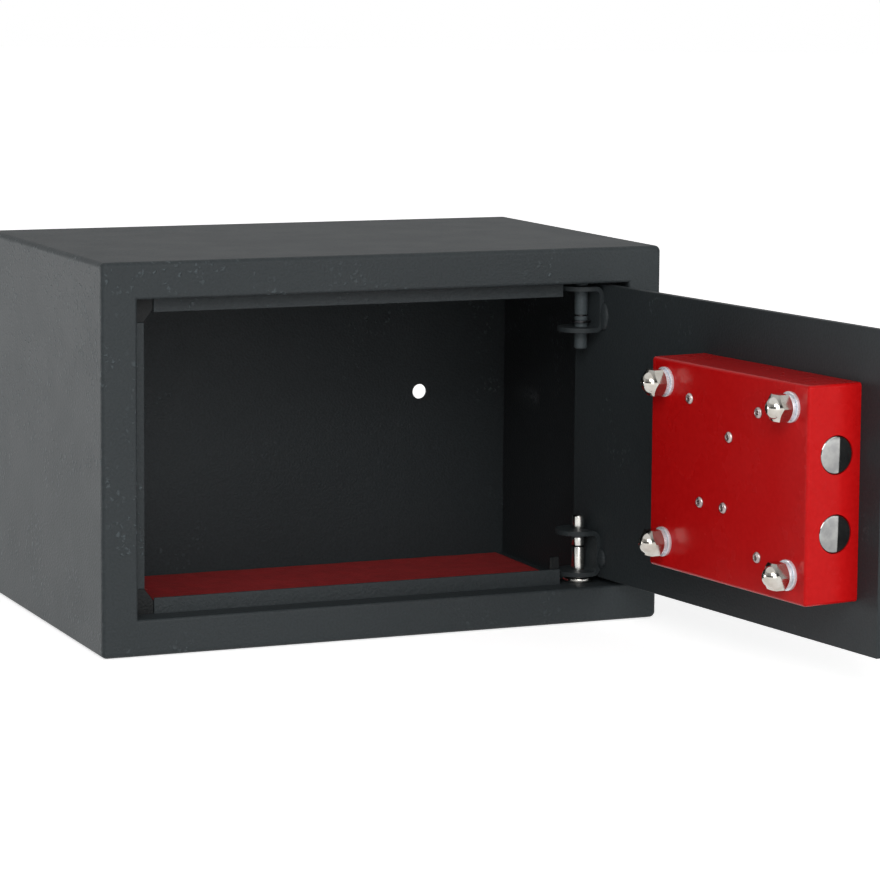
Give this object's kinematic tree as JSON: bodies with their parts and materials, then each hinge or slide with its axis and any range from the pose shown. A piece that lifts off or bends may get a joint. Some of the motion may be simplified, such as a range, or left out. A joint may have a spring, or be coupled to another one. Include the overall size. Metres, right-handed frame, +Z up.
{
  "type": "safe deposit box",
  "caption": "Small steel safe deposit box, its hinged door open, with live round bolts in a lock case, a turning knob, a key lock and a felt floor mat.",
  "frame": {"origin": "centre of the body's bottom face, where the box stands", "axes": "+X to the hinge side, +Y from the front to the back, +Z up"},
  "size_m": [0.3289, 0.4295, 0.2],
  "materials": {
    "body_coat": "fine textured powder coat",
    "door_coat": "fine textured powder coat",
    "red_coat": "glossy powder coat",
    "red_felt": "short felt",
    "bright_chrome": "polished",
    "zinc": "zinc plated",
    "tool_steel": "plain",
    "spring_steel": "oiled black",
    "brass": "turned"
  },
  "bodies": {
    "cabinet": {"body_shell": "body_coat", "front_frame": "body_coat", "stop_flange": "body_coat", "corner_gussets": "body_coat", "hinge_tab": "body_coat", "back_panel": "body_coat", "floor_mat": "red_felt", "hinge_plates": "body_coat", "thrust_washer": "bright_chrome"},
    "door": {"door_plate": "door_coat", "upper_hinge_bracket": "door_coat", "lower_hinge_bracket": "door_coat", "upper_hinge_pin": "door_coat", "lower_hinge_pin": "bright_chrome", "hinge_clips": "spring_steel", "lock_cover": "red_coat", "cover_studs": "zinc", "flat_washers": "zinc", "spring_washers": "bright_chrome", "cap_nuts": "bright_chrome", "cover_screws": "zinc", "mechanism_plate": "zinc", "bolt_guide": "zinc", "guide_screws": "tool_steel", "knob_bush": "brass", "knob_rose": "bright_chrome", "lock_barrel": "bright_chrome", "lock_nut": "zinc"},
    "carriage": {"bolt_carriage": "zinc", "upper_bolt": "bright_chrome", "lower_bolt": "bright_chrome", "bolt_screws": "tool_steel"},
    "knob_turner": {"knob": "bright_chrome", "knob_shaft": "tool_steel", "crank_arm": "tool_steel", "drive_pin": "tool_steel", "knob_grub_screw": "spring_steel"},
    "key_cylinder": {"key_plug": "brass", "lock_cam": "tool_steel", "cam_screw": "zinc"}
  },
  "joints": [
    {"name": "door_hinge", "type": "hinge", "parent": "cabinet", "child": "door", "pos_m": [0.1175, -0.0805, 0.1], "axis": [0, 0, 1], "range_deg": [-97.5, 11]},
    {"name": "knob_turn", "type": "hinge", "parent": "door", "child": "knob_turner", "pos_m": [0.14483, -0.23828, 0.1], "axis": [0.9914, 0.1305, 0], "range_deg": [0, 90]},
    {"name": "bolt_slide", "type": "slide", "parent": "door", "child": "carriage", "axis": [0.1305, -0.9914, 0], "range_m": [0, 0.02]},
    {"name": "key_turn", "type": "hinge", "parent": "door", "child": "key_cylinder", "pos_m": [0.14483, -0.23828, 0.059], "axis": [0.9914, 0.1305, 0], "range_deg": [0, 90]}
  ],
  "couplings": [
    {"joint": "bolt_slide", "follows": "knob_turn", "m_per_rad": 0.01273}
  ]
}
